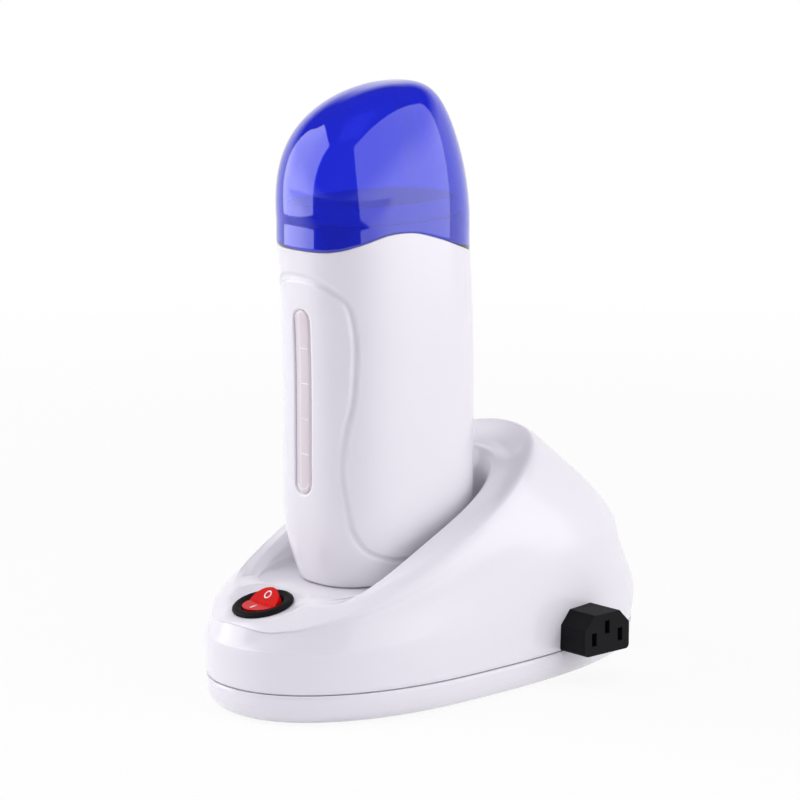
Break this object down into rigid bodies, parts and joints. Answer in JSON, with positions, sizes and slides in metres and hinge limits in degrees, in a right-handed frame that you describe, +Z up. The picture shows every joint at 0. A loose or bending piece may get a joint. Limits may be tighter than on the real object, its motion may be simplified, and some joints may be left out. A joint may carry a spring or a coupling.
{
  "type": "roll on wax heater",
  "caption": "Hand-held roll-on wax heater with a domed push-on cap, standing in the well of a sloping charging base with a rocker switch and mains connectors.",
  "frame": {"origin": "On the plane that the base stands on, in the base's plane of symmetry, 94 mm behind the tip of the nose", "axes": "+Z up, -Y towards the nose that carries the rocker switch, +X towards the side that carries the mains outlet"},
  "size_m": [0.1103, 0.2, 0.2347],
  "materials": {
    "base_shell": "glossy moulded plastic",
    "handset_shell": "glossy moulded plastic",
    "foot_rubber": "soft black rubber",
    "screw_steel": "zinc-plated steel",
    "black_plastic": "fine satin moulded plastic",
    "rocker_red": "glossy moulded plastic",
    "lamp_glass": "clear lamp glass",
    "contact_brass": "plain brass",
    "window_glass": "frosted clear plastic",
    "chamber_aluminium": "drawn aluminium",
    "collar_plastic": "heat-proof moulded plastic",
    "heater_ceramic": "sintered ceramic in insulating film",
    "clip_steel": "plain sheet steel",
    "cap_blue": "tinted translucent plastic, glossy"
  },
  "bodies": {
    "base": {"base_housing": "base_shell", "base_cover": "base_shell", "rubber_feet": "foot_rubber", "base_screws": "screw_steel", "switch_housing": "black_plastic", "switch_lamp": "lamp_glass", "switch_terminals": "contact_brass", "outlet_block": "black_plastic", "outlet_contacts": "contact_brass", "inlet_shell": "black_plastic", "inlet_pins": "contact_brass", "dock_connector": "black_plastic", "dock_pins": "contact_brass"},
    "switch_rocker": {"switch_rocker": "rocker_red"},
    "handset": {"handset_body": "handset_shell", "handset_front_cover": "handset_shell", "handset_screws": "screw_steel", "window_lens": "window_glass", "cartridge_chamber": "chamber_aluminium", "cartridge_collar": "collar_plastic", "heater_plates": "heater_ceramic", "heater_clips": "clip_steel", "thermostat": "clip_steel", "thermal_fuse": "contact_brass", "handset_socket": "black_plastic", "handset_contacts": "contact_brass"},
    "cap": {"cap": "cap_blue"}
  },
  "joints": [
    {"name": "rocker_pivot", "type": "hinge", "parent": "base", "child": "switch_rocker", "pos_m": [0, -0.07625, 0.04026], "axis": [-1, 0, 0], "range_deg": [0, 24]},
    {"name": "handset_lift", "type": "slide", "parent": "base", "child": "handset", "axis": [0, 0, 1], "range_m": [0, 0.12]},
    {"name": "cap_pull", "type": "slide", "parent": "handset", "child": "cap", "axis": [0, 0, 1], "range_m": [0, 0.06]}
  ]
}
